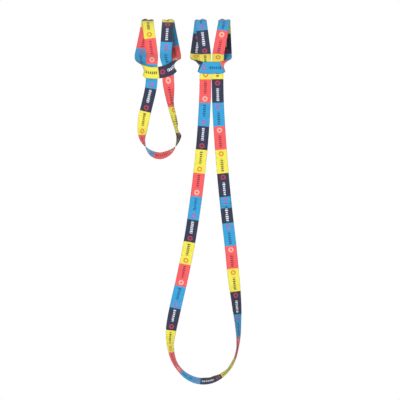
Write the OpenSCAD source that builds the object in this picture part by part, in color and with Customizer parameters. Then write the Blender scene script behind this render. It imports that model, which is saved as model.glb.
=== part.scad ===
// A set of two stretching straps of printed elastic webbing.  Each strap is one band sewn into a
// loop, and hangs from a round bar by a girth hitch.  X runs along the bar, Y from front to back
// and Z up.  The origin is on the bar's axis, at the middle of the long strap's hitch.

/* [Webbing] */
// Width of the webbing
webbing_w = 25; // [20:1:27]
// Thickness of the webbing
webbing_t = 1.4; // [1:0.1:1.8]

/* [Bar seat] */
// Diameter of the round bar that the hitches close on
bar_d = 80; // [74:1:84]
// How far round from straight down the webbing leaves the bar, at the front and at the back
leave_deg = 36; // [32:1:40]

/* [Long strap] */
// Depth of the long loop's lowest point below the bar's axis
long_drop = 726; // [500:1:1000]

/* [Short strap] */
// Depth of the short loop's lowest point below the bar's axis
short_drop = 251; // [220:1:300]
// Distance along the bar from the long strap's hitch to the short strap's
short_offset = 110; // [106:1:300]

/* [Hitch] */
// Depth of the middle of the long strap's cross band below the bar's axis
long_bridge_drop = 60; // [58:1:62]
// Depth of the middle of the short strap's cross band below the bar's axis
short_bridge_drop = 66; // [64:1:68]
// Depth below the bar's axis of the line on which the long loop swings
long_swing_drop = 76; // [76:1:80]
// Depth below the bar's axis of the line on which the short loop swings
short_swing_drop = 86; // [86:1:88]
// Distance of the hanging legs in front of the bar's axis
leg_front = 6; // [4:0.5:8]

/* [Seam] */
// Length over which the two ends of the long strap overlap
long_lap = 70; // [40:1:90]
// Length over which the two ends of the short strap overlap
short_lap = 50; // [30:1:55]
// Diameter of the sewing thread
thread_d = 0.8; // [0.5:0.1:1.2]

/* [Hidden] */
seat_r = bar_d / 2;
mid_r = seat_r + webbing_t / 2;
ply_gap = 0.3;
ply_step = webbing_t + ply_gap;
edge_bevel = 0.4;
// The cross band stands this far in front of the bar's axis, over the two strands that it holds
bridge_front = leg_front + webbing_t + 2.8;
// Depth at which the strands stop bending
neck_bend = seat_r + 14;
// The hitch ends this far above the line of the swing, and the swinging legs start this far below it
neck_clear = 1.6;
leg_clear = 1;
// Stations between two neighbouring places of a loop's route
steps_per_span = 6;
// The lower end of a band starts to pass behind the upper one this far below the cut, over a length
tuck_from = 6;
tuck_length = 17;
// Gap between the legs and the bottom of a loop, which stretch away from each other
body_gap = 0.3;
// Share of a wing's length over which its face turns from the front to the bar's underside
twist_share = 0.62;
// Rows of stitches across each end of a seam: distance of the outer and inner row, their lean in
// degrees, the stitches in a row, and their height above the face
outer_row = 4;
inner_row = 10;
stitch_lean = 20;
row_stitches = 7;
thread_rise = 0.15;

// Places across the bar, from each hitch's middle: [left, right]
long_top_x = [-23, 27.5];
long_front_x = [-13.5, 14];
long_back_x = [-33, 31];
long_leg_x = [-12.7, 12.7];
short_top_x = [-25.5, 18];
short_front_x = [-15.8, 13];
short_back_x = [-41, 33];
short_leg_x = [-16.8, 18.2];

// Half the straight length of each cross band, and how far the short one's right end is lifted and
// its left end lowered
long_flat_half = 20;
short_flat_half = 25;
short_bridge_lift = 4;

// The hanging loops' centre lines, [x, z, turn of the face towards the outside of the loop in
// degrees], down the left leg, round the bottom and up the right leg, at the nominal drops below.
long_nominal_drop = 726;
long_route = [
    [-12.7, -77, 0], [-14, -130, 0], [-19, -210, 0], [-27, -290, 0], [-36, -360, 0], [-47, -430, 0],
    [-61, -500, 0], [-77, -570, 3], [-86, -618, 32], [-87, -650, 55], [-78, -684, 64],
    [-58, -709, 63], [-33, -722, 57], [-8, -723, 55], [16, -715, 62], [36, -699, 72], [50, -674, 78],
    [56.5, -640, 77], [56, -600, 57], [52, -550, 28], [46, -495, 6], [39.5, -430, 0], [32, -365, 0],
    [25, -295, 0], [18.5, -215, 0], [14, -140, 0], [12.7, -77, 0]
];
short_nominal_drop = 251;
short_route = [
    [-16.8, -87, 4], [-19.5, -108, 6], [-27, -140, 8], [-33, -165, 12], [-36.3, -190, 34],
    [-36.5, -210, 62], [-29, -228, 92], [-17, -241, 114], [-1, -246.5, 122], [14, -243, 120],
    [27, -234.5, 104], [36, -222, 84], [40.5, -205, 68], [39.5, -188, 52], [34.5, -165, 38],
    [27, -135, 30], [21, -108, 22], [18.2, -87, 8]
];

// Where the legs end and the bottom of each loop begins, as places in the routes
long_bight_from = 7;
long_bight_to = 20;
short_bight_from = 5;
short_bight_to = 12;

// Depth at which the upper end of each right leg is cut off
long_cut_drop = 357;
short_cut_drop = 182;

function unit(v) = v / norm(v);
function ramp(u) = let (c = min(1, max(0, u))) c * c * (3 - 2 * c);

// Smooth curve through a list of points, at place i + u, where u runs from 0 to 1
function through(p, i, u) =
    let (a = p[max(0, i - 1)], b = p[i], c = p[i + 1], d = p[min(len(p) - 1, i + 2)])
    b + ((c - a) * u + (2 * a - 5 * b + 4 * c - d) * u * u + (3 * b - a - 3 * c + d) * u * u * u) / 2;
function smooth_run(p, from, to, steps) = concat(
    [for (i = [from:to - 1], k = [0:steps - 1]) through(p, i, k / steps)],
    [p[to]]
);

function bezier(p, u) =
    p[0] * pow(1 - u, 3) + p[1] * 3 * u * pow(1 - u, 2) + p[2] * 3 * u * u * (1 - u) + p[3] * pow(u, 3);

// A ribbon is a list of stations, each [centre, face normal].  The band runs through the centres.
// with_direction() adds the band's direction to each station, so that stretches of one ribbon meet
// face to face.
function direction(r, i) = unit(r[min(len(r) - 1, i + 1)][0] - r[max(0, i - 1)][0]);
function with_direction(r) = [for (i = [0:len(r) - 1]) [r[i][0], r[i][1], direction(r, i)]];
// A ribbon whose end faces look along given directions, so that they lie flat on what they meet
function facing(r, first, last) = [
    for (i = [0:len(r) - 1])
    [r[i][0], r[i][1], i == 0 ? first : i == len(r) - 1 ? last : r[i][2]]
];
// A stretch cut back a little at both ends, to stay clear of the stretches that move against it
function clear_ends(r) = [
    for (i = [0:len(r) - 1])
    let (back = i == 0 ? body_gap : i == len(r) - 1 ? -body_gap : 0)
    [r[i][0] + r[i][2] * back, r[i][1], r[i][2]]
];
flat_half = webbing_w / 2 - edge_bevel;
edge_half = webbing_t / 2 - edge_bevel;
section = concat(
    [for (u = [-1:0.5:1]) [u * flat_half, -webbing_t / 2]],
    [[webbing_w / 2, -edge_half], [webbing_w / 2, edge_half]],
    [for (u = [1:-0.5:-1]) [u * flat_half, webbing_t / 2]],
    [[-webbing_w / 2, edge_half], [-webbing_w / 2, -edge_half]]
);

// The solid band that runs through a list of stations, with triangles all over, and strips of them
// across its two ends
module ribbon(stations) {
    sides = len(section);
    rings = len(stations);
    points = [
        for (i = [0:rings - 1])
        let (
            t = unit(stations[i][2]),
            n = unit(stations[i][1] - (stations[i][1] * t) * t),
            s = cross(n, t)
        )
        for (c = section) stations[i][0] + s * c[0] + n * c[1]
    ];
    walls = [
        for (i = [0:rings - 2], j = [0:sides - 1])
        let (a = i * sides + j, b = i * sides + (j + 1) % sides, c = b + sides, d = a + sides)
        each [[a, d, c], [a, c, b]]
    ];
    last = (rings - 1) * sides;
    ends = [
        for (j = [-1:sides / 2 - 3])
        let (a = (j + sides) % sides, b = j + 1, c = sides - 4 - j, d = c + 1)
        each [[a, b, c], [a, c, d], [last + a, last + c, last + b], [last + a, last + d, last + c]]
    ];
    polyhedron(points = points, faces = concat(ends, walls), convexity = 6);
}

// The hanging loop at one place of its route: the face turns about the band's own direction
function leg_start(swing_drop) = swing_drop + leg_clear;
function fall(z, top, start, drop, nominal) = -start + (z + top) * (drop - start) / (nominal - top);
function loop_stations(route, swing_drop, drop, nominal) =
    let (
        run = smooth_run(route, 0, len(route) - 1, steps_per_span),
        top = -route[0][1],
        start = leg_start(swing_drop)
    )
    with_direction([
        for (i = [0:len(run) - 1])
        let (
            q = run[i],
            ahead = run[min(len(run) - 1, i + 1)],
            behind = run[max(0, i - 1)],
            along = unit([ahead[0] - behind[0], ahead[1] - behind[1]])
        )
        [
            [q[0], -leg_front, fall(q[1], top, start, drop, nominal)],
            [along[1] * sin(q[2]), -cos(q[2]), -along[0] * sin(q[2])]
        ]
    ]);

// The stations of a loop between two places of its route
function stretch(loop, from, to) = [for (i = [from * steps_per_span:to * steps_per_span]) loop[i]];

// The stretch of a rising run of stations between two depths, cut square at both
function depth(station) = -station[0][2];
function at_depth(r, d) = [
    for (i = [0:len(r) - 2])
    let (a = depth(r[i]), b = depth(r[i + 1]))
    if (a > b && a >= d && b <= d) r[i] + (r[i + 1] - r[i]) * (a - d) / (a - b)
][0];
function between(r, low, high) = concat(
    [at_depth(r, low)],
    [for (s = r) if (depth(s) < low - 1 && depth(s) > high + 1) s],
    [at_depth(r, high)]
);
// The lower end passes behind the upper one and comes forward again under the cut
function tucked(r, cut) = [
    for (s = r) [s[0] - s[1] * ply_step * (1 - ramp((depth(s) - cut - tuck_from) / tuck_length)), s[1], s[2]]
];

// One turn of webbing over the bar, from the front underside to the back underside
module wrap(top_x, front_x, back_x) {
    reach = 2 * seat_r;
    low_z = -seat_r * cos(leave_deg);
    high_z = seat_r + webbing_t;
    length = max(abs(front_x), abs(back_x), abs(top_x)) + webbing_w;
    module slab(low_x) {
        slope = (low_x - top_x) / (low_z - high_z);
        bottom_x = top_x + slope * (-reach - high_z);
        polygon([
            [bottom_x - webbing_w / 2, -reach], [bottom_x + webbing_w / 2, -reach],
            [top_x + webbing_w / 2, high_z + 1], [top_x - webbing_w / 2, high_z + 1]
        ]);
    }
    intersection() {
        rotate([0, 90, 0]) difference() {
            cylinder(h = 2 * length, r = seat_r + webbing_t, center = true, $fn = 96);
            cylinder(h = 2 * length + 2, r = seat_r, center = true, $fn = 96);
        }
        union() {
            rotate([90, 0, 0]) linear_extrude(height = reach) slab(front_x);
            translate([0, reach, 0]) rotate([90, 0, 0]) linear_extrude(height = reach) slab(back_x);
        }
        rotate([90, 0, 90]) linear_extrude(height = 2 * length, center = true) polygon([
            [0, 0], [-reach * sin(leave_deg), -reach * cos(leave_deg)], [-reach, -reach],
            [-reach, reach], [reach, reach], [reach, -reach],
            [reach * sin(leave_deg), -reach * cos(leave_deg)]
        ]);
    }
}

// The strand from the bar's front underside down behind the cross band.  It leaves the bar along
// its round, bends to hang straight down, and turns a little to meet the leg.
module neck(front_x, leg_x, end_turn, swing_drop) {
    leave_lead = 21;
    hang_lead = 5;
    steps = 10;
    start = [front_x, -mid_r * sin(leave_deg), -mid_r * cos(leave_deg)];
    bend = [leg_x, -leg_front, -neck_bend];
    curve = [
        start, start + leave_lead * [0, cos(leave_deg), -sin(leave_deg)], bend + [0, 0, hang_lead], bend
    ];
    out = [0, -sin(leave_deg), -cos(leave_deg)];
    side = sign(leg_x);
    down = [leg_x, -leg_front, -(swing_drop - neck_clear)];
    strand = with_direction(concat(
        [for (k = [0:steps]) let (u = k / steps) [bezier(curve, u), out * (1 - u) + [0, -1, 0] * u]],
        [for (k = [1:4]) let (u = k / 4) [
            bend + (down - bend) * u,
            [side * sin(end_turn * u), -cos(end_turn * u), 0]
        ]]
    ));
    ribbon(facing(strand, [0, cos(leave_deg), -sin(leave_deg)], [0, 0, -1]));
}

// The cross band in front of both legs, with its two wings up to the bar's back underside.  It is
// straight for half each way from the middle, where its right end is lifted and its left end lowered.
// Halfway along a wing the face looks outwards and down.
module bridge(half, back_x, drop, lift) {
    out_lead = 14;
    out_rise = 1;
    back_lead = 18;
    halfway_out = 1.15;
    halfway_down = 0.65;
    steps = 14;
    function wing(side) =
        let (
            end = [back_x[side > 0 ? 1 : 0], mid_r * sin(leave_deg), -mid_r * cos(leave_deg)],
            start = [side * half, -bridge_front, -drop + side * lift],
            lead = back_lead * [0, cos(leave_deg), sin(leave_deg)],
            curve = [start, start + [side * out_lead, 0, side * lift + out_rise], end - lead, end],
            out = [0, sin(leave_deg), -cos(leave_deg)],
            halfway = [halfway_out * side, 0, -halfway_down]
        )
        [
            for (k = [0:steps])
            let (u = k / steps, w = ramp(u / twist_share))
            [
                bezier(curve, u),
                [0, -1, 0] * pow(1 - w, 2) + halfway * 2 * w * (1 - w) + out * w * w
            ]
        ];
    left = wing(-1);
    right = wing(1);
    round = with_direction(concat([for (i = [len(left) - 1:-1:0]) left[i]], right));
    ribbon(facing(round, [0, -cos(leave_deg), -sin(leave_deg)], [0, cos(leave_deg), sin(leave_deg)]));
}

// A row of stitches across a seam, each a short thread on the face of the upper ply
module stitch_row(station, lean) {
    t = unit(station[2]);
    n = unit(station[1] - (station[1] * t) * t);
    s = cross(n, t);
    margin = 2;
    thread_share = 0.9;
    pitch = (webbing_w - 2 * margin) / row_stitches;
    for (k = [0:row_stitches - 1])
        let (
            place = station[0] + n * (webbing_t / 2 + thread_d / 2 + thread_rise)
                + s * (k + 0.5 - row_stitches / 2) * pitch
        )
        multmatrix([
            [s[0], n[0], t[0], place[0]],
            [s[1], n[1], t[1], place[1]],
            [s[2], n[2], t[2], place[2]],
            [0, 0, 0, 1]
        ])
            rotate([0, lean, 0]) cube([pitch * thread_share, thread_d, thread_d], center = true);
}

// The zigzags of stitches that hold a seam, an outer and an inner row across each end of the lap
module stitching(right, cut, lap) {
    for (d = [cut - outer_row, cut - lap + outer_row]) stitch_row(at_depth(right, d), -stitch_lean);
    for (d = [cut - inner_row, cut - lap + inner_row]) stitch_row(at_depth(right, d), stitch_lean);
}

long_loop = loop_stations(long_route, long_swing_drop, long_drop, long_nominal_drop);
long_left = stretch(long_loop, 0, long_bight_from);
long_bottom = stretch(long_loop, long_bight_from, long_bight_to);
long_right = stretch(long_loop, long_bight_to, len(long_route) - 1);
short_loop = loop_stations(short_route, short_swing_drop, short_drop, short_nominal_drop);
short_left = stretch(short_loop, 0, short_bight_from);
short_bottom = stretch(short_loop, short_bight_from, short_bight_to);
short_right = stretch(short_loop, short_bight_to, len(short_route) - 1);

module at_short() translate([-short_offset, 0, 0]) children();

module long_wrap_left() { color("#e9dc6a") wrap(long_top_x[0], long_front_x[0], long_back_x[0]); }
module long_wrap_right() { color("#4d4a63") wrap(long_top_x[1], long_front_x[1], long_back_x[1]); }
module long_neck_left() { color("#e9dc6a") neck(long_front_x[0], long_leg_x[0], 0, long_swing_drop); }
module long_neck_right() { color("#4d4a63") neck(long_front_x[1], long_leg_x[1], 0, long_swing_drop); }
module long_bridge() { color("#3fa1cc") bridge(long_flat_half, long_back_x, long_bridge_drop, 0); }
module long_leg_left() { color("#f2726e") ribbon(long_left); }
module long_leg_right_upper() {
    color("#3fa1cc") ribbon(between(long_right, long_cut_drop, leg_start(long_swing_drop)));
}
module long_leg_right_lower() {
    color("#f2726e")
        ribbon(tucked(between(long_right, depth(long_right[0]), long_cut_drop - long_lap), long_cut_drop));
}
module long_stitching() { color("#2b2b33") stitching(long_right, long_cut_drop, long_lap); }
module long_bight() { color("#e9dc6a") ribbon(clear_ends(long_bottom)); }

module short_wrap_left() {
    color("#f2726e") at_short() wrap(short_top_x[0], short_front_x[0], short_back_x[0]);
}
module short_wrap_right() {
    color("#3fa1cc") at_short() wrap(short_top_x[1], short_front_x[1], short_back_x[1]);
}
module short_neck_left() {
    color("#3fa1cc") at_short()
        neck(short_front_x[0], short_leg_x[0], short_route[0][2], short_swing_drop);
}
module short_neck_right() {
    color("#f2726e") at_short()
        neck(short_front_x[1], short_leg_x[1], short_route[len(short_route) - 1][2], short_swing_drop);
}
module short_bridge() {
    color("#4d4a63") at_short() bridge(short_flat_half, short_back_x, short_bridge_drop, short_bridge_lift);
}
module short_leg_left() { color("#e9dc6a") at_short() ribbon(short_left); }
module short_leg_right_upper() {
    color("#f2726e") at_short() ribbon(between(short_right, short_cut_drop, leg_start(short_swing_drop)));
}
module short_leg_right_lower() {
    color("#e9dc6a") at_short()
        ribbon(
            tucked(between(short_right, depth(short_right[0]), short_cut_drop - short_lap), short_cut_drop)
        );
}
module short_stitching() { color("#2b2b33") at_short() stitching(short_right, short_cut_drop, short_lap); }
module short_bight() { color("#3fa1cc") at_short() ribbon(clear_ends(short_bottom)); }

long_wrap_left();
long_wrap_right();
long_neck_left();
long_neck_right();
long_bridge();
long_leg_left();
long_leg_right_upper();
long_leg_right_lower();
long_stitching();
long_bight();
short_wrap_left();
short_wrap_right();
short_neck_left();
short_neck_right();
short_bridge();
short_leg_left();
short_leg_right_upper();
short_leg_right_lower();
short_stitching();
short_bight();
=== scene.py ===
"""Two stretching straps of printed elastic webbing, each hanging from a bar by a girth hitch.

Each strap is one band sewn into a loop.  Its centre line is worked out once, all the way round: down
the left leg, round the bottom, up the right leg, over the bar, round behind the cross band's right
wing, across the front, and back over the bar to the left leg.  The pieces are stretches of that band.
The band's numbers are in millimetres; band_mesh() and stitches() turn them into metres.
"""

import math

import bpy
import numpy as np
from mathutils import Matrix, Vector


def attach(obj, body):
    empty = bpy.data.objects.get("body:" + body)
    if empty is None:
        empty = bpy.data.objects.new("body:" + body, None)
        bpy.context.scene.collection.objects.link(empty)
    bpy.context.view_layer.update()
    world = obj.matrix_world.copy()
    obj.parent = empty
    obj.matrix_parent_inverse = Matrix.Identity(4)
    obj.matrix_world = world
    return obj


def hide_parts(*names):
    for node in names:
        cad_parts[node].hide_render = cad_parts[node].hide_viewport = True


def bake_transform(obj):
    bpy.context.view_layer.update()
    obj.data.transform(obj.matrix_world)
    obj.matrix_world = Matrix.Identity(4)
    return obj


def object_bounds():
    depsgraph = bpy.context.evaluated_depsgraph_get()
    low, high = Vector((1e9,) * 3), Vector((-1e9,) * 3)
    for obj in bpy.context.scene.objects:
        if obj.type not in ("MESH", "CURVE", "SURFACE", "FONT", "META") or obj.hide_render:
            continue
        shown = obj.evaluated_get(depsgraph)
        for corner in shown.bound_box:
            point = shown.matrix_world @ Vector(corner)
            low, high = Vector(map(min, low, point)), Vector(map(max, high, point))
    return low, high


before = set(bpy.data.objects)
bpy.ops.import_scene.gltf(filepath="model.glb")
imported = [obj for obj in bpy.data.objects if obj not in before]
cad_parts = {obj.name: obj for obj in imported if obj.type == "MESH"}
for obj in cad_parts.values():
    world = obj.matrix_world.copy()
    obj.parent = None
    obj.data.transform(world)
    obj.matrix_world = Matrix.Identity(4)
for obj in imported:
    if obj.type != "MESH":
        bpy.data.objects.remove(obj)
cad_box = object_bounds()

# The webbing on the bar, in millimetres
MM = 0.001
WIDTH = 25.0
THICK = 1.4
SEAT_R = 40.0  # the bar's radius
MID_R = SEAT_R + THICK / 2
LEAVE = math.radians(36)  # angle from straight down at which a strand leaves the bar
LEG_FRONT = 6.0  # how far the legs hang in front of the bar's axis
BRIDGE_FRONT = LEG_FRONT + THICK + 2.8  # and the cross band
NECK_BEND = SEAT_R + 14  # depth at which the strands come to hang straight down
NECK_CLEAR = 1.6  # how far above the swing's axis a neck's straight line ends
PLY_STEP = THICK + 0.3  # between the middles of the lap's two plies
TUCK_FROM = 6.0  # below the cut, where the lower ply starts to come forward
TUCK_LENGTH = 17.0  # the depth over which it does so
TWIST_SHARE = 0.9  # share of a wing over which its face turns
BLOCK = 50.0  # length of one printed colour

# Folds: lobes are (height, place across, breadth), the places and breadths in half widths
LOBES = ((3.4, 0.4, 0.42), (1.8, -0.62, 0.36))
LOBE_REACH = 12.0  # along the band
CREASE_TURN = math.radians(60)
CREASE_AT = -3.0  # place across
CREASE_SOFT = 3.0
PEEK = -2.5  # sideways place of the short strap's lower ply, which shows beside the upper one

# Stitches
THREAD_R = 0.3
ARCH = 0.5  # height of the thread's arch from one hole to the next
SINK = 0.3  # how deep the thread's middle lies in the face at a hole
STITCH_REACH = 10.5  # half the length of a row across
STITCH_LEAN = 1.6  # how far such a row's zigzag swings along the band
STITCH_HOLES = 15
SIDE_ROW = 10.8  # place across of the rows along the edges
SIDE_SWING = 0.9  # half the swing of their zigzag

# How finely the band is cut up
COLUMNS = 19
EDGE_STEPS = 3
RING_STEP = 1.6
BIAS_REACH = 40.0  # how far the slant of a cut end reaches along the band

# For each strap:
#   offset: place along the bar
#   top_x, front_x, back_x: the left and right strand's places on the bar's top, where they leave its
#     front and where they leave its back; leg_x: where the two legs start
#   half, bridge, lift, sag: the cross band's flat half length, its depth, how far its right end lies
#     above and its left end below that, and how far its middle sags
#   swing: depth of the axis that the loop swings about
#   lobes: 1, or -1 for buckles mirrored across the band
#   bias, cut, lap: slant of the cut end at its edge, depth of the cut, and the lap's height above it
#   route: the loop's centre line, down the left leg and up the right, as (x, z, turn of the face in
#     degrees)
#   bottom_from: height below which the loop's bottom moves as one
STRAPS = {
    "long": dict(
        offset=0.0,
        top_x=(-23, 27.5),
        front_x=(-13.5, 14),
        back_x=(-33, 31),
        leg_x=(-12.7, 12.7),
        half=20,
        bridge=60,
        lift=0,
        sag=0,
        swing=76,
        lobes=1,
        bias=0,
        cut=357,
        lap=70,
        route=[
            (-12.7, -77, 0), (-14, -130, 0), (-19, -210, 0), (-27, -290, 0), (-36, -360, 0),
            (-47, -430, 0), (-61, -500, 0), (-77, -570, 3), (-86, -618, 32), (-87, -650, 55),
            (-78, -684, 64), (-58, -709, 63), (-33, -722, 57), (-8, -723, 55), (16, -715, 62),
            (36, -699, 72), (50, -674, 78), (56.5, -640, 77), (56, -600, 57), (52, -550, 28),
            (46, -495, 6), (39.5, -430, 0), (32, -365, 0), (25, -295, 0), (18.5, -215, 0),
            (14, -140, 0), (12.7, -77, 0),
        ],
        bottom_from=-570,
        # The print's place at heights of the right strand, the cross band and the left strand,
        # and then down the left leg, up the right one, and down the right one's upper run
        right_ink=[(-84, 150), (-31, 200), (18, 250)],
        middle_ink=475,
        middle_x=0.0,
        left_ink=[(18, 700), (-31, 750), (-84, 800)],
        leg_ink=[(-84, 0), (-382, 300), (-616, 550)],
        rise_ink=[(-630.7, 850), (-388.8, 1100), (-288, 1200)],
        upper_ink=[(-84, 150), (-355, -122)],
    ),
    "short": dict(
        offset=-110.0,
        top_x=(-25.5, 18),
        front_x=(-15.8, 13),
        back_x=(-41, 33),
        leg_x=(-16.8, 18.2),
        half=25,
        bridge=66,
        lift=4,
        sag=4,
        swing=86,
        lobes=-1,
        bias=-5,
        cut=182,
        lap=50,
        route=[
            (-16.8, -87, 4), (-19.5, -108, 6), (-27, -140, 8), (-33, -165, 12), (-36.3, -190, 34),
            (-36.5, -210, 62), (-29, -228, 92), (-17, -241, 114), (-1, -246.5, 122),
            (14, -243, 120), (27, -234.5, 104), (36, -222, 84), (40.5, -205, 68),
            (39.5, -188, 52), (34.5, -165, 38), (27, -135, 30), (21, -108, 22), (18.2, -87, 8),
        ],
        bottom_from=-205,
        right_ink=[(-94, 36), (-76, 50), (-58, 56), (-6, 100)],
        middle_ink=350,
        middle_x=-2.5,
        left_ink=[(1.3, 600), (-51.7, 650), (-94, 690)],
        leg_ink=[(-94, 690), (-103.7, 700), (-202, 800)],
        rise_ink=[(-228, 900), (-198, 950), (-148, 1000)],
        upper_ink=[(-94, 36), (-141, 0), (-181, -40)],
    ),
}


def unit(v):
    return v / np.linalg.norm(v, axis=-1, keepdims=True)


def ramp(u):
    c = np.clip(u, 0, 1)
    return c * c * (3 - 2 * c)


def bezier(points, steps):
    p = np.array(points, float)
    u = np.linspace(0, 1, steps + 1)[:, None]
    near, far = 1 - u, u
    return near**3 * p[0] + 3 * far * near**2 * p[1] + 3 * far * far * near * p[2] + far**3 * p[3]


def spline(points, steps):
    """Rows along a uniform Catmull-Rom curve through the points."""
    p = np.array(points, float)
    q = np.vstack([p[:1], p, p[-1:]])
    u = np.linspace(0, 1, steps, endpoint=False)[:, None]
    spans = [
        b + ((c - a) * u + (2 * a - 5 * b + 4 * c - d) * u**2 + (3 * b - a - 3 * c + d) * u**3) / 2
        for a, b, c, d in zip(q, q[1:], q[2:], q[3:])
    ]
    return np.vstack(spans + [p[-1:]])


def loop_line(strap):
    """The hanging loop, down the left leg and up the right: centres and face normals."""
    run = spline(strap["route"], 24)
    along = unit(np.gradient(run[:, :2], axis=0))
    turn = np.radians(run[:, 2])
    centre = np.column_stack([run[:, 0], np.full(len(run), -LEG_FRONT), run[:, 1]])
    aside = np.sin(turn)
    return centre, np.column_stack([along[:, 1] * aside, -np.cos(turn), -along[:, 0] * aside])


def neck_line(strap, k):
    """One strand from the bar's front underside down to the swing line; k is 0 left, 1 right."""
    steps = 24
    side = (-1, 1)[k]
    leg_x = strap["leg_x"][k]
    turn = math.radians(strap["route"][-k][2])
    start = np.array([strap["front_x"][k], -MID_R * math.sin(LEAVE), -MID_R * math.cos(LEAVE)])
    leave = np.array([0, math.cos(LEAVE), -math.sin(LEAVE)])
    bend = np.array([leg_x, -LEG_FRONT, -NECK_BEND])
    from_bar, above_bend = 21, 5  # lengths of the curve's handles
    curve = bezier([start, start + from_bar * leave, bend + (0, 0, above_bend), bend], steps)
    u = np.linspace(0, 1, steps + 1)[:, None]
    normal = np.array([0, -math.sin(LEAVE), -math.cos(LEAVE)]) * (1 - u) + np.array([0, -1, 0]) * u
    down = bend + (np.array([leg_x, -LEG_FRONT, NECK_CLEAR - strap["swing"]]) - bend) * u[1:]
    straight = np.column_stack(
        [side * np.sin(turn * u[1:, 0]), -np.cos(turn * u[1:, 0]), np.zeros(steps)]
    )
    return np.vstack([curve, down]), np.vstack([normal, straight])


def wrap_line(strap, k):
    """One turn over the bar, from the front underside to the back underside."""
    angle = np.linspace(LEAVE, 2 * math.pi - LEAVE, 120)
    z = -MID_R * np.cos(angle)
    low, high = -SEAT_R * math.cos(LEAVE), SEAT_R + THICK
    end_x = np.where(angle < math.pi, strap["front_x"][k], strap["back_x"][k])
    x = strap["top_x"][k] + (end_x - strap["top_x"][k]) * (z - high) / (low - high)
    normal = np.column_stack([np.zeros(len(angle)), -np.sin(angle), -np.cos(angle)])
    return np.column_stack([x, -MID_R * np.sin(angle), z]), normal


def wing_line(strap, k):
    """One wing of the cross band, from its flat middle up to the bar's back underside."""
    steps = 40
    side = (-1, 1)[k]
    rise = side * strap["lift"]
    start = np.array([side * strap["half"], -BRIDGE_FRONT, -strap["bridge"] + rise])
    end = np.array([strap["back_x"][k], MID_R * math.sin(LEAVE), -MID_R * math.cos(LEAVE)])
    first = start + (side * 8, 3, rise + 3)
    last = end - 18 * np.array([0, math.cos(LEAVE), math.sin(LEAVE)])
    curve = bezier([start, first, last, end], steps)
    w = ramp(np.linspace(0, 1, steps + 1) / TWIST_SHARE)[:, None]
    out = np.array([0, math.sin(LEAVE), -math.cos(LEAVE)])
    half_way = np.array([1.1 * side, 0, -0.8])
    return curve, np.array([0, -1, 0]) * (1 - w) ** 2 + half_way * 2 * w * (1 - w) + out * w * w


def middle_line(strap):
    """The flat middle of the cross band, from right to left, which sags a little."""
    t = np.linspace(1, -1, 30)[1:-1]
    z = -strap["bridge"] + strap["lift"] * t - strap["sag"] * (1 - t * t)
    centre = np.column_stack([strap["half"] * t, np.full(len(t), -BRIDGE_FRONT), z])
    return centre, np.broadcast_to([0.0, -1.0, 0.0], centre.shape)


class Band:
    """The band's whole round as closely spaced places: arc length a, centre, face normal and side."""

    STEP = 0.5
    SMOOTH = 2.2

    def __init__(self, strap):
        self.offset = strap["offset"]

        def back(line):
            return line[0][::-1], line[1][::-1]

        parts = [
            loop_line(strap),
            back(neck_line(strap, 1)),
            wrap_line(strap, 1),
            back(wing_line(strap, 1)),
            middle_line(strap),
            wing_line(strap, 0),
            back(wrap_line(strap, 0)),
            neck_line(strap, 0),
        ]
        centre = np.vstack([c for c, _ in parts] + [parts[0][0][:1]])
        normal = np.vstack([n for _, n in parts] + [parts[0][1][:1]])
        far = np.concatenate([[0], np.cumsum(np.linalg.norm(np.diff(centre, axis=0), axis=1))])
        ends = np.cumsum([len(c) for c, _ in parts])
        count = int(far[-1] / self.STEP)
        self.length = far[-1]
        self.a = np.arange(count) * self.length / count
        self.loop_end = far[ends[0] - 1]
        self.middle = (far[ends[3] - 1] + far[ends[4]]) / 2
        self.centre = self.smooth(self.sample(far, centre))
        self.normal = unit(self.smooth(self.sample(far, unit(normal))))
        along = unit(np.roll(self.centre, -1, 0) - np.roll(self.centre, 1, 0))
        self.normal = unit(self.normal - along * np.sum(self.normal * along, axis=1, keepdims=True))
        self.side = np.cross(self.normal, along)

    def sample(self, far, rows):
        return np.column_stack([np.interp(self.a, far, rows[:, i]) for i in range(3)])

    def smooth(self, rows):
        """Rounds off the small corners where two stretches meet."""
        reach = int(4 * self.SMOOTH / self.STEP)
        kernel = np.exp(-0.5 * (np.arange(-reach, reach + 1) * self.STEP / self.SMOOTH) ** 2)
        padded = np.vstack([rows[-reach:], rows, rows[:reach]])
        kernel = kernel / kernel.sum()
        return np.column_stack([np.convolve(padded[:, i], kernel, "valid") for i in range(3)])

    def at(self, a, rows):
        """Rows at any arc lengths, all the way round and on."""
        a = np.mod(a, self.length)
        knots = np.append(self.a, self.length)
        closed = np.vstack([rows, rows[:1]])
        return np.stack([np.interp(a, knots, closed[:, i]) for i in range(3)], axis=-1)

    def where(self, z, low, high):
        """Arc length between low and high at which the band passes the height z."""
        a = np.arange(low, high, self.STEP)
        above = self.at(a, self.centre)[:, 2] > z
        i = np.flatnonzero(above[1:] != above[:-1])[0]
        return a[i] + self.STEP / 2


def section():
    """The band's outline across, as (place across, height, front face 0..1), once round."""
    rim = 0.55
    flat = WIDTH / 2 - rim
    crowd = 0.86  # columns lie closer together towards the edges
    across = np.sin(np.linspace(-1, 1, COLUMNS) * math.pi / 2 * crowd)
    across = across / math.sin(math.pi / 2 * crowd) * flat
    turn = np.linspace(0, math.pi, EDGE_STEPS + 2)[1:-1]
    front = [(v, 1.0, 1.0) for v in across]
    right = [(flat + rim * math.sin(t), math.cos(t), float(t < math.pi / 2)) for t in turn]
    rear = [(-v, -1.0, 0.0) for v in across]
    left = [(-flat - rim * math.sin(t), -math.cos(t), float(t > math.pi / 2)) for t in turn]
    return np.array(front + right + rear + left)


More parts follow.
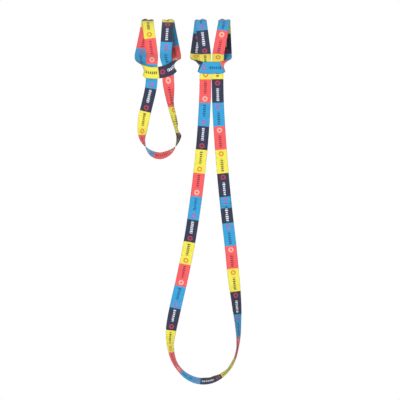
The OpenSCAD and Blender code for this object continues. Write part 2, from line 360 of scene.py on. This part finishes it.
def thickness(v):
    """Half the webbing's thickness: rolled cords at the edges and three shallow channels."""
    x = np.abs(v) / (WIDTH / 2)
    cord = 0.16 * np.exp(-(((x - 0.9) / 0.07) ** 2))
    channel = -0.12 * np.exp(-(((x - 0.42) / 0.06) ** 2)) - 0.06 * np.exp(-((x / 0.05) ** 2))
    return 0.56 + cord + channel


def off_the_bar(points):
    """Points moved straight outwards where they would lie inside the band's middle layer on the bar."""
    away = np.hypot(points[..., 1], points[..., 2])
    out = np.maximum(away, MID_R) / np.maximum(away, 1e-6)
    return points * np.stack([np.ones_like(out), out, out], axis=-1)


def band_mesh(name, band, start, end, ink, shape, bias=0.0):
    """A solid stretch of the band as an object.  ink gives the print's place at an arc length, shape
    gives (offset outwards, offset sideways) at an arc length and a place across, and bias says how far
    the start is cut aslant, in millimetres at the edge."""
    outline = section()
    rings = int((end - start) / RING_STEP) + 1
    a = np.linspace(start, end, rings)[:, None]
    v, level, front = outline.T
    a = a + bias * ramp(1 - (a - start) / BIAS_REACH) * v / (WIDTH / 2)
    v = np.broadcast_to(v, a.shape)
    rise, shift = shape(a, v)
    centre, normal, side = (band.at(a, rows) for rows in (band.centre, band.normal, band.side))
    points = off_the_bar(centre + side * (v + shift)[..., None] + normal * rise[..., None])
    points = points + normal * (level * thickness(v))[..., None] + (band.offset, 0, 0)
    web = np.stack([ink(a), v, np.broadcast_to(front, a.shape)], axis=-1)

    n = len(outline)
    i, j = np.meshgrid(np.arange(rings - 1), np.arange(n), indexing="ij")
    k = (j + 1) % n
    faces = np.stack([i * n + j, i * n + k, (i + 1) * n + k, (i + 1) * n + j], axis=-1).reshape(-1, 4)
    caps = [list(range(n))[::-1], [(rings - 1) * n + c for c in range(n)]]
    mesh = bpy.data.meshes.new(name)
    mesh.from_pydata((points.reshape(-1, 3) * MM).tolist(), [], faces.tolist() + caps)
    places = mesh.attributes.new("web", "FLOAT_VECTOR", "POINT")
    places.data.foreach_set("vector", web.reshape(-1).astype("f"))
    mesh.polygons.foreach_set("use_smooth", [True] * len(faces) + [False] * 2)
    rims = {frozenset((c[j - 1], c[j])) for c in caps for j in range(n)}
    sharp = [frozenset(edge.vertices) in rims for edge in mesh.edges]
    mesh.attributes.new("sharp_edge", "BOOLEAN", "EDGE").data.foreach_set("value", sharp)
    mesh.update()
    piece = bpy.data.objects.new(name, mesh)
    bpy.context.scene.collection.objects.link(piece)
    return piece


# Materials


def linear(colour):
    """A shader colour from an sRGB one written as a hex number."""
    parts = [((colour >> shift) & 255) / 255 for shift in (16, 8, 0)]
    return [c / 12.92 if c <= 0.04045 else ((c + 0.055) / 1.055) ** 2.4 for c in parts] + [1.0]


class Nodes:
    """Short calls that add nodes to a material and give back their output sockets."""

    def __init__(self, name):
        self.material = bpy.data.materials.new(name)
        self.material.use_nodes = True
        self.tree = self.material.node_tree
        self.shader = self.tree.nodes["Principled BSDF"]

    def add(self, kind, **values):
        node = self.tree.nodes.new(kind)
        for key, value in values.items():
            setattr(node, key, value)
        return node

    def feed(self, socket, value):
        if isinstance(value, bpy.types.NodeSocket):
            self.tree.links.new(value, socket)
        else:
            socket.default_value = value

    def math(self, operation, *values):
        node = self.add("ShaderNodeMath", operation=operation)
        for socket, value in zip(node.inputs, values):
            self.feed(socket, value)
        return node.outputs[0]

    def ramp(self, factor, stops, constant=False):
        node = self.add("ShaderNodeValToRGB")
        node.color_ramp.interpolation = "CONSTANT" if constant else "EASE"
        ramp_stops = node.color_ramp.elements
        while len(ramp_stops) < len(stops):
            ramp_stops.new(0.5)
        for stop, (position, colour) in zip(ramp_stops, stops):
            stop.position = position
            stop.color = colour
        self.feed(node.inputs[0], factor)
        return node.outputs[0]

    def mix(self, factor, a, b, blend="MIX"):
        node = self.add("ShaderNodeMix", data_type="RGBA", blend_type=blend)
        for index, value in ((0, factor), (6, a), (7, b)):
            self.feed(node.inputs[index], value)
        return node.outputs[2]

    def noise(self, vector, scale, detail=2.0):
        node = self.add("ShaderNodeTexNoise")
        self.feed(node.inputs["Vector"], vector)
        node.inputs["Scale"].default_value = scale
        node.inputs["Detail"].default_value = detail
        return node.outputs[0]

    def scaled(self, vector, by):
        node = self.add("ShaderNodeVectorMath", operation="MULTIPLY")
        self.feed(node.inputs[0], vector)
        node.inputs[1].default_value = by
        return node.outputs[0]

    def between(self, value, centre, half, soft):
        """1 where value is within half of centre, with a soft edge."""
        away = self.math("ABSOLUTE", self.math("SUBTRACT", value, centre))
        node = self.add("ShaderNodeMapRange", interpolation_type="SMOOTHSTEP")
        for socket, part in zip(node.inputs, (away, half + soft, half - soft, 0.0, 1.0)):
            self.feed(socket, part)
        return node.outputs[0]

    def bump(self, height, distance, strength=1.0, under=None):
        node = self.add("ShaderNodeBump")
        node.inputs["Strength"].default_value = strength
        node.inputs["Distance"].default_value = distance
        self.feed(node.inputs["Height"], height)
        if under is not None:
            self.feed(node.inputs["Normal"], under)
        return node.outputs[0]


# Along the print: red, blue, navy, yellow, each a block long
BASE = (0xF25C5E, 0x2E9FD4, 0x2B314A, 0xF0E452)
DASH = (0x8E2430, 0x0D4A78, 0xE8ECF4, 0x36361E)
RING = (0xF6C9B4, 0xA85A9C, 0xC23A58, 0xD8761E)


def webbing_material():
    """Printed knitted elastic.  "web" holds the print's place along and across, and the face."""
    n = Nodes("printed_webbing")
    web = n.add("ShaderNodeAttribute", attribute_name="web").outputs["Vector"]
    parts = n.add("ShaderNodeSeparateXYZ")
    n.feed(parts.inputs[0], web)
    s, v, face = parts.outputs

    # A block's borders wander a little, as ink does on a knit
    uneven = n.noise(n.scaled(web, (0.4, 0.7, 3)), 1.0)
    wobble = n.math("MULTIPLY", n.math("SUBTRACT", uneven, 0.5), 1.6)
    s_ink = n.math("ADD", s, wobble)
    # On the rear face the two colours of each pair change places
    first = n.math("LESS_THAN", n.math("FLOORED_MODULO", s_ink, 2 * BLOCK), BLOCK)
    swap = n.math("MULTIPLY_ADD", first, 2 * BLOCK, -BLOCK)
    rear = n.math("LESS_THAN", face, 0.5)
    s_face = n.math("ADD", s_ink, n.math("MULTIPLY", swap, rear))
    where = n.math("DIVIDE", n.math("FLOORED_MODULO", s_face, 4 * BLOCK), 4 * BLOCK)
    local = n.math("FLOORED_MODULO", s_face, BLOCK)

    def blocks(colours):
        return n.ramp(where, [(i / 4, linear(c)) for i, c in enumerate(colours)], constant=True)

    # A block's marks: a row of dashes of uneven height, and a ring after it
    pitch, filled = 4.2, 0.62
    row_middle, row_half = 16.5, 14.0
    lowest, spread = 2.2, 1.0
    ring_middle, ring_radius, ring_half = 41.5, 4.0, 1.5
    cell = n.math("DIVIDE", local, pitch)
    chance = n.add("ShaderNodeTexWhiteNoise", noise_dimensions="1D")
    n.feed(chance.inputs["W"], n.math("FLOOR", n.math("DIVIDE", s_face, pitch)))
    tall = n.math("MULTIPLY_ADD", chance.outputs[0], spread, lowest)
    in_row = n.between(local, row_middle, row_half, 0.4)
    in_dash = n.math("LESS_THAN", n.math("FRACT", cell), filled)
    in_height = n.math("LESS_THAN", n.math("ABSOLUTE", v), tall)
    dash = n.math("MULTIPLY", n.math("MULTIPLY", in_row, in_dash), in_height)
    along = n.math("SUBTRACT", local, ring_middle)
    radius = n.math(
        "SQRT", n.math("ADD", n.math("MULTIPLY", along, along), n.math("MULTIPLY", v, v))
    )
    ring = n.between(radius, ring_radius, ring_half, 0.5)

    fade = n.noise(n.scaled(web, (1.0, 3.0, 5)), 0.6, 3.0)
    colour = n.mix(n.math("MULTIPLY", dash, 0.92), blocks(BASE), blocks(DASH))
    colour = n.mix(n.math("MULTIPLY", ring, 0.8), colour, blocks(RING))
    worn = n.ramp(fade, [(0.3, (0.84, 0.84, 0.86, 1)), (0.7, (1.0, 1.0, 1.0, 1))])
    colour = n.mix(1.0, colour, worn, "MULTIPLY")

    # Knit: lengthwise ribs crossed by the weft's short floats, every other row half a step on
    rib = 1.05
    row = 0.75
    rows = n.math("DIVIDE", s, row)
    odd = n.math("MULTIPLY", n.math("FLOORED_MODULO", n.math("FLOOR", rows), 2), 0.5)
    ribs = n.math("SINE", n.math("MULTIPLY", n.math("ADD", n.math("DIVIDE", v, rib), odd), 2 * math.pi))
    floats = n.math("ABSOLUTE", n.math("SINE", n.math("MULTIPLY", rows, math.pi)))
    knit = n.math("MULTIPLY_ADD", ribs, 0.35, floats)
    fuzz = n.noise(n.scaled(web, (4, 4, 4)), 1.0, 4.0)
    edge = n.between(n.math("ABSOLUTE", v), WIDTH / 2, 1.3, 0.5)
    shade = n.ramp(
        n.math("MULTIPLY_ADD", edge, -0.5, n.math("MULTIPLY_ADD", knit, 0.35, 0.5)),
        [(0.0, (0.72, 0.72, 0.74, 1)), (0.8, (1.0, 1.0, 1.0, 1))],
    )
    colour = n.mix(1.0, colour, shade, "MULTIPLY")
    n.feed(n.shader.inputs["Base Color"], colour)

    rough = n.math("MULTIPLY_ADD", fade, 0.22, 0.52)
    n.feed(n.shader.inputs["Roughness"], rough)
    bumps = n.bump(knit, 0.00022, 0.8)
    n.feed(n.shader.inputs["Normal"], n.bump(fuzz, 0.00025, 0.5, bumps))
    n.shader.inputs["Sheen Weight"].default_value = 0.1
    n.shader.inputs["Sheen Roughness"].default_value = 0.5
    n.shader.inputs["Specular IOR Level"].default_value = 0.35
    return n.material


def thread_material():
    """Twisted polyester sewing thread, dark, with painted light on its twist: paler on the raised
    turns, darker in the grooves.
    """
    n = Nodes("sewing_thread")
    place = n.add("ShaderNodeTexCoord").outputs["Object"]
    twist = n.add("ShaderNodeTexWave", bands_direction="DIAGONAL")
    n.feed(twist.inputs["Vector"], place)
    twist.inputs["Scale"].default_value = 900
    twist.inputs["Distortion"].default_value = 2.0
    # Painted light: the thread's colour follows the twist's bump, paler where it rises and darker in
    # its grooves
    n.feed(
        n.shader.inputs["Base Color"],
        n.ramp(twist.outputs[1], [(0.2, linear(0x17171D)), (0.9, linear(0x45454F))]),
    )
    n.feed(n.shader.inputs["Roughness"], n.math("MULTIPLY_ADD", n.noise(place, 700.0), 0.3, 0.4))
    n.feed(n.shader.inputs["Normal"], n.bump(twist.outputs[1], 0.0001))
    n.shader.inputs["Sheen Weight"].default_value = 0.2
    return n.material


# Camera, level with the straps' middle and far in front of them, so that nothing looks foreshortened
VIEW_WIDTH = 0.848
CAMERA_FAR = 10.0
SENSOR = 36.0
camera = bpy.data.objects.new("camera", bpy.data.cameras.new("camera"))
camera.data.sensor_width = SENSOR
camera.data.lens = SENSOR * CAMERA_FAR / VIEW_WIDTH
camera.location = (-0.0244, -CAMERA_FAR, -0.340)
camera.rotation_euler = (math.pi / 2, 0, 0)
camera.data.clip_end = 50
bpy.context.scene.collection.objects.link(camera)
bpy.context.scene.camera = camera
bpy.context.scene.view_settings.view_transform = "Standard"

webbing = webbing_material()
thread = thread_material()


def tube(path, radius, sides=6):
    """Points and faces of a thread along a path, its ends closed."""
    path = np.array(path, float)
    along = unit(np.gradient(path, axis=0))
    up = unit(np.cross(along, np.broadcast_to([0.3, 0.2, 0.93], along.shape)))
    other = np.cross(along, up)
    t = np.arange(sides) * 2 * math.pi / sides
    slim = radius * np.sqrt(np.clip(1.02 - np.linspace(-1, 1, len(path)) ** 6, 0, 1))[:, None, None]
    ring = up[:, None] * np.cos(t)[None, :, None] + other[:, None] * np.sin(t)[None, :, None]
    points = (path[:, None] + ring * slim).reshape(-1, 3)
    faces = []
    for i in range(len(path) - 1):
        low, high = i * sides, (i + 1) * sides
        for j in range(sides):
            k = (j + 1) % sides
            faces.append((low + j, low + k, high + k, high + j))
    last = (len(path) - 1) * sides
    return points, faces + [tuple(range(sides))[::-1], tuple(last + j for j in range(sides))]


def stitches(name, band, lines, shape):
    """One mesh of stitches.  Each line is a list of (arc length, place across) that the needle passes
    through; the thread lies in a low arch on the face between one hole and the next."""
    points, faces = [], []
    for line in lines:
        for (a0, v0), (a1, v1) in zip(line, line[1:]):
            u = np.linspace(0.04, 0.96, 9)
            a, v = a0 + (a1 - a0) * u, v0 + (v1 - v0) * u
            rise, shift = shape(a, v)
            arch = rise + thickness(v) + ARCH * np.sin(u * math.pi) - SINK
            centre, normal, side = (band.at(a, rows) for rows in (band.centre, band.normal, band.side))
            line_points = centre + side * (v + shift)[:, None] + normal * arch[:, None]
            p, f = tube(line_points + (band.offset, 0, 0), THREAD_R)
            faces += [tuple(i + len(points) for i in face) for face in f]
            points += p.tolist()
    mesh = bpy.data.meshes.new(name)
    mesh.from_pydata([[c * MM for c in p] for p in points], [], faces)
    mesh.polygons.foreach_set("use_smooth", [True] * len(faces))
    piece = bpy.data.objects.new(name, mesh)
    bpy.context.scene.collection.objects.link(piece)
    return piece


def zigzag(start, end, low, high):
    """Needle holes of a zigzag from start to end, which swings between low and high."""
    count = STITCH_HOLES - 1
    return [(start + (end - start) * i / count, high if i % 2 else low) for i in range(count + 1)]


def ink_table(pairs):
    """The print's place by arc length: straight between the pairs, and at full size past both ends."""
    a, ink = zip(*sorted(pairs))
    a = [a[0] - 1000, *a, a[-1] + 1000]
    ink = [ink[0] - 1000, *ink, ink[-1] + 1000]
    return lambda at: np.interp(at, a, ink)


def build(name, strap):
    band = Band(strap)
    half_way = band.loop_end / 2
    top = {
        k: band.a[np.argmax(np.where(stretch, band.centre[:, 2], -1e9))]
        for k, stretch in (
            ("right", (band.a > band.loop_end) & (band.a < band.middle)),
            ("left", band.a > band.middle),
        )
    }

    def left(z):
        return band.where(z, 0, half_way)

    def right(z):
        return band.where(z, half_way, top["right"])

    def last(z):
        return band.where(z, top["left"], band.length + 40)

    # Heights at which the necks give way to the legs, and the hitch to the necks
    leg_z = -strap["swing"] - 8
    neck_z = -strap["bridge"] + 2
    left_leg, right_leg = left(leg_z), right(leg_z)
    cut, lap_top = right(-strap["cut"]), right(strap["lap"] - strap["cut"])

    hitch_ink = ink_table(
        [(right(z), ink) for z, ink in strap["right_ink"]]
        + [(band.middle - strap["middle_x"], strap["middle_ink"])]
        + [(last(z), ink) for z, ink in strap["left_ink"]]
    )
    loop_ink = ink_table(
        [(left(z), ink) for z, ink in strap["leg_ink"]]
        + [(right(z), ink) for z, ink in strap["rise_ink"]]
    )
    upper_ink = ink_table([(right(z), ink) for z, ink in strap["upper_ink"]])

    def hitch_shape(a, v):
        """Two buckled lobes where the band turns over the bar, and slightly wavy edges."""
        across = v / (WIDTH / 2) * strap["lobes"]
        lobes = sum(h * np.exp(-(((across - c) / b) ** 2)) for h, c, b in LOBES)
        lift = sum(np.exp(-(((a - place) / LOBE_REACH) ** 2)) for place in top.values()) * lobes
        wave = 0.3 * np.sin(a / 7.3 + 1.3 * across) * across**2
        held = ramp((a - right(neck_z)) / 25) * ramp((last(neck_z) - a) / 25)
        return lift + wave * held, 0 * lift

    def fold(a, v, under=0.0):
        """The short strap's right leg is creased lengthwise: its right third turns back.  A ply that
        lies under another follows the same crease, that far in from it at every place across."""
        if name == "long":
            return 0 * v - under, 0 * v
        z = band.at(a, band.centre)[..., 2]
        turn = CREASE_TURN * ramp((-92 - z) / 50) * ramp((z + 206) / 20) * (a > half_way)
        reach = CREASE_AT - v
        soft = np.sqrt(reach**2 + CREASE_SOFT**2)
        beyond = (reach + soft) / 2
        lean = turn * (1 + reach / soft) / 2
        rise = -beyond * np.sin(turn) - under * np.cos(lean)
        return rise, beyond * (1 - np.cos(turn)) + under * np.sin(lean)

    def loop_shape(a, v):
        """Wavy edges, the lower ply tucked behind the upper, and the long bottom's gathered edge."""
        across = v / (WIDTH / 2)
        centre = band.at(a, band.centre)
        depth = -centre[..., 2]
        behind = (1 - ramp((depth - strap["cut"] - TUCK_FROM) / TUCK_LENGTH)) * (a > half_way)
        wave = (0.5 * np.sin(a / 23.0) + 0.25 * np.sin(a / 9.1 + 2)) * across * np.abs(across)
        wave = wave * ramp((a - left_leg) / 25) * (1 - behind)
        lowest = np.max(-band.centre[:, 2])
        gather = ramp((depth - 0.87 * lowest) / 20) * ramp((centre[..., 0] + 20) / 20)
        frill = (0.9 * np.sin(a / 3.9) + 0.7 * np.sin(a / 6.7)) * ramp((across - 0.1) / 0.9) * gather
        peek = 0.0 if name == "long" else PEEK * behind
        rise, shift = fold(a, v + peek, PLY_STEP * behind)
        return rise + wave, shift + peek + (frill if name == "long" else 0.0)

    def plain(a, v):
        return 0 * v + 0 * a, 0 * v + 0 * a

    def bend(piece, slot, nodes, bodies, start_z, end_z):
        """Hides a piece's CAD nodes, and hangs it on the body it rides, or bakes its place where it
        lies between two.  The slot is not used.
        """
        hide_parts(*(f"{name}_{node}" for node in nodes))
        if len(bodies) == 1:
            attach(piece, f"{name}_{bodies[0]}")
        else:
            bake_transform(piece)

    swing = (("hitch", "loop"), 3 - strap["swing"], leg_z)
    stretch = (("loop", "bottom"), leg_z - 6, strap["bottom_from"])
    pieces = (
        ("hitch_band", right(neck_z), last(neck_z), hitch_ink, hitch_shape, 0,
         ("wrap_left", "wrap_right", "bridge"), (("hitch",), 0, 0)),
        ("neck_right_band", right_leg, right(neck_z), hitch_ink, plain, 0, ("neck_right",), swing),
        ("neck_left_band", last(neck_z), last(leg_z), hitch_ink, plain, 0, ("neck_left",), swing),
        ("loop_band", left_leg, lap_top, loop_ink, loop_shape, 0,
         ("leg_left", "leg_right_lower", "bight"), stretch),
        ("upper_run", cut, right_leg, upper_ink, fold, strap["bias"], ("leg_right_upper",), stretch),
    )
    for part, start, end, ink, shape, bias, nodes, motion in pieces:
        piece = band_mesh(f"{name}_{part}", band, start, end, ink, shape, bias)
        piece.data.materials.append(webbing)
        bend(piece, "printed_webbing", nodes, *motion)

    lines = []
    for a, way in ((cut + 4, -1), (cut + 10, 1), (lap_top - 10, 1), (lap_top - 4, -1)):
        row = zigzag(-STITCH_REACH, STITCH_REACH, -way * STITCH_LEAN / 2, way * STITCH_LEAN / 2)
        lines.append([(a + swing, v) for v, swing in row])
    for v in (-SIDE_ROW, SIDE_ROW):
        lines.append(zigzag(cut + 2, cut + 0.45 * (lap_top - cut), v - SIDE_SWING, v + SIDE_SWING))
    sewing = stitches(f"{name}_stitches", band, lines, fold)
    sewing.data.materials.append(thread)
    bend(sewing, "thread", ("stitching",), *stretch)


for strap_name, strap_values in STRAPS.items():
    build(strap_name, strap_values)


# Studio

FLOOR_Z = -1.05


def floor_disc():
    """A round pale floor that fades to the white of the backdrop at its rim."""
    rim, rings, spokes = 6.0, 24, 96
    fade_from, fade_to = 3.4, 5.8
    points = [(0, 0, FLOOR_Z)]
    for i in range(1, rings + 1):
        for j in range(spokes):
            t = 2 * math.pi * j / spokes
            points.append((rim * i / rings * math.cos(t), rim * i / rings * math.sin(t), FLOOR_Z))
    faces = [(0, 1 + j, 1 + (j + 1) % spokes) for j in range(spokes)]
    for i in range(rings - 1):
        a, b = 1 + i * spokes, 1 + (i + 1) * spokes
        faces += [(a + j, b + j, b + (j + 1) % spokes, a + (j + 1) % spokes) for j in range(spokes)]
    mesh = bpy.data.meshes.new("floor")
    mesh.from_pydata(points, [], faces)
    floor = bpy.data.objects.new("floor", mesh)
    bpy.context.scene.collection.objects.link(floor)
    n = Nodes("floor")
    place = n.add("ShaderNodeTexCoord").outputs["Object"]
    flat = n.scaled(place, (1, 1, 0))
    length = n.add("ShaderNodeVectorMath", operation="LENGTH")
    n.feed(length.inputs[0], flat)
    n.shader.inputs["Base Color"].default_value = (0.82, 0.82, 0.82, 1)
    n.shader.inputs["Roughness"].default_value = 0.9
    n.shader.inputs["Specular IOR Level"].default_value = 0.1
    glow = n.add("ShaderNodeEmission")
    glow.inputs["Color"].default_value = (1, 1, 1, 1)
    blend = n.add("ShaderNodeMixShader")
    out = n.tree.nodes["Material Output"]
    outwards = n.add("ShaderNodeMapRange", interpolation_type="SMOOTHSTEP")
    fade = (length.outputs["Value"], fade_from, fade_to, 0.0, 1.0)
    for socket, value in zip(outwards.inputs, fade):
        n.feed(socket, value)
    n.feed(blend.inputs[0], outwards.outputs[0])
    n.tree.links.new(n.shader.outputs[0], blend.inputs[1])
    n.tree.links.new(glow.outputs[0], blend.inputs[2])
    n.tree.links.new(blend.outputs[0], out.inputs["Surface"])
    floor.data.materials.append(n.material)


def area_light(name, place, aim, size, watts):
    """A square soft light that the camera doesn't see."""
    light = bpy.data.lights.new(name, "AREA")
    light.size = size
    light.energy = watts
    lamp = bpy.data.objects.new(name, light)
    lamp.location = place
    lamp.rotation_euler = (Vector(aim) - Vector(place)).to_track_quat("-Z", "Y").to_euler()
    lamp.visible_camera = False
    bpy.context.scene.collection.objects.link(lamp)


def studio_world():
    """A white backdrop, which lights the straps gently: most from above and least from below."""
    world = bpy.data.worlds.new("studio")
    bpy.context.scene.world = world
    world.use_nodes = True
    tree = world.node_tree
    place = tree.nodes.new("ShaderNodeTexCoord")
    parts = tree.nodes.new("ShaderNodeSeparateXYZ")
    level = tree.nodes.new("ShaderNodeMapRange")
    shades = tree.nodes.new("ShaderNodeValToRGB")
    path = tree.nodes.new("ShaderNodeLightPath")
    seen = tree.nodes.new("ShaderNodeMix")
    seen.data_type = "RGBA"
    tree.links.new(place.outputs["Generated"], parts.inputs[0])
    tree.links.new(parts.outputs[2], level.inputs[0])
    for socket, value in zip(level.inputs[1:5], (-1.0, 1.0, 0.0, 1.0)):
        socket.default_value = value
    tree.links.new(level.outputs[0], shades.inputs[0])
    stops = ((0.0, 0.04), (0.4, 0.08), (0.55, 0.16), (1.0, 0.3))
    while len(shades.color_ramp.elements) < len(stops):
        shades.color_ramp.elements.new(0.5)
    for stop, (position, grey) in zip(shades.color_ramp.elements, stops):
        stop.position = position
        stop.color = (grey, grey, grey, 1)
    tree.links.new(path.outputs["Is Camera Ray"], seen.inputs[0])
    tree.links.new(shades.outputs[0], seen.inputs[6])
    seen.inputs[7].default_value = (1, 1, 1, 1)
    tree.links.new(seen.outputs[2], tree.nodes["Background"].inputs["Color"])
    tree.nodes["Background"].inputs["Strength"].default_value = 1.0


studio_world()
floor_disc()
middle = (cad_box[0] + cad_box[1]) / 2
area_light("key", (-0.9, -5.4, 0.5), middle, 1.6, 275)
area_light("fill", (3.0, -4.0, 0.5), middle, 2.5, 15)
area_light("overhead", (0.0, 1.5, 4.0), (0.0, 1.5, FLOOR_Z), 4.0, 70)
area_light("rear", (1.8, 4.6, 1.6), middle, 2.2, 110)
